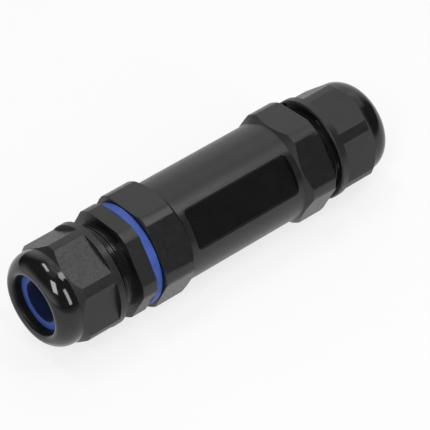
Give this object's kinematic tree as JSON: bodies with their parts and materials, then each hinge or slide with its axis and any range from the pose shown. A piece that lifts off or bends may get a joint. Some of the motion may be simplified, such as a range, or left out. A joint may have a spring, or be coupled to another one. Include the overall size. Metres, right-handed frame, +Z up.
{
  "type": "waterproof cable connector",
  "caption": "Inline cable joiner: round barrel with hexagonal collars and a domed clamping nut at each end, blue seals, and a screw terminal block inside.",
  "frame": {"origin": "on the floor under the middle of the length, between the collar flats it rests on", "axes": "+X along the cable axis from the front end (with the blue ring) to the rear end, +Z up"},
  "size_m": [0.1182, 0.0338, 0.031],
  "materials": {
    "housing": "satin black nylon",
    "nut": "black nylon with a glossy nose",
    "seal": "blue silicone",
    "block": "satin black nylon",
    "terminal": "nickel plated",
    "screw": "zinc plated"
  },
  "bodies": {
    "housing": {"barrel": "housing", "terminal_block": "block", "terminal_1": "terminal", "terminal_2": "terminal", "terminal_3": "terminal", "terminal_4": "terminal", "terminal_5": "terminal", "front_screw_1": "screw", "front_screw_2": "screw", "front_screw_3": "screw", "front_screw_4": "screw", "front_screw_5": "screw", "rear_screw_1": "screw", "rear_screw_2": "screw", "rear_screw_3": "screw", "rear_screw_4": "screw", "rear_screw_5": "screw"},
    "flange_seal": {"flange_seal": "seal"},
    "front_gland": {"front_gland": "housing"},
    "front_grommet": {"front_grommet": "seal"},
    "front_nut": {"front_nut": "nut"},
    "rear_grommet": {"rear_grommet": "seal"},
    "rear_nut": {"rear_nut": "nut"}
  },
  "joints": [
    {"name": "gland_travel", "type": "slide", "parent": "housing", "child": "flange_seal", "axis": [-1, 0, 0], "range_m": [0, 0.00901]},
    {"name": "gland_turn", "type": "hinge", "parent": "flange_seal", "child": "front_gland", "pos_m": [-0.0316, 0, 0.0155], "axis": [-1, 0, 0], "range_deg": [0, 2160]},
    {"name": "front_nut_travel", "type": "slide", "parent": "front_gland", "child": "front_grommet", "axis": [-1, 0, 0], "range_m": [-0.00241, 0.00451]},
    {"name": "front_nut_turn", "type": "hinge", "parent": "front_grommet", "child": "front_nut", "pos_m": [-0.049, 0, 0.0155], "axis": [-1, 0, 0], "range_deg": [-576, 1080]},
    {"name": "rear_nut_travel", "type": "slide", "parent": "housing", "child": "rear_grommet", "axis": [1, 0, 0], "range_m": [-0.00241, 0.00451]},
    {"name": "rear_nut_turn", "type": "hinge", "parent": "rear_grommet", "child": "rear_nut", "pos_m": [0.049, 0, 0.0155], "axis": [1, 0, 0], "range_deg": [-576, 1080]}
  ],
  "couplings": [
    {"joint": "gland_travel", "follows": "gland_turn", "m_per_rad": 0.00023873},
    {"joint": "front_nut_travel", "follows": "front_nut_turn", "m_per_rad": 0.00023873},
    {"joint": "rear_nut_travel", "follows": "rear_nut_turn", "m_per_rad": 0.00023873}
  ]
}
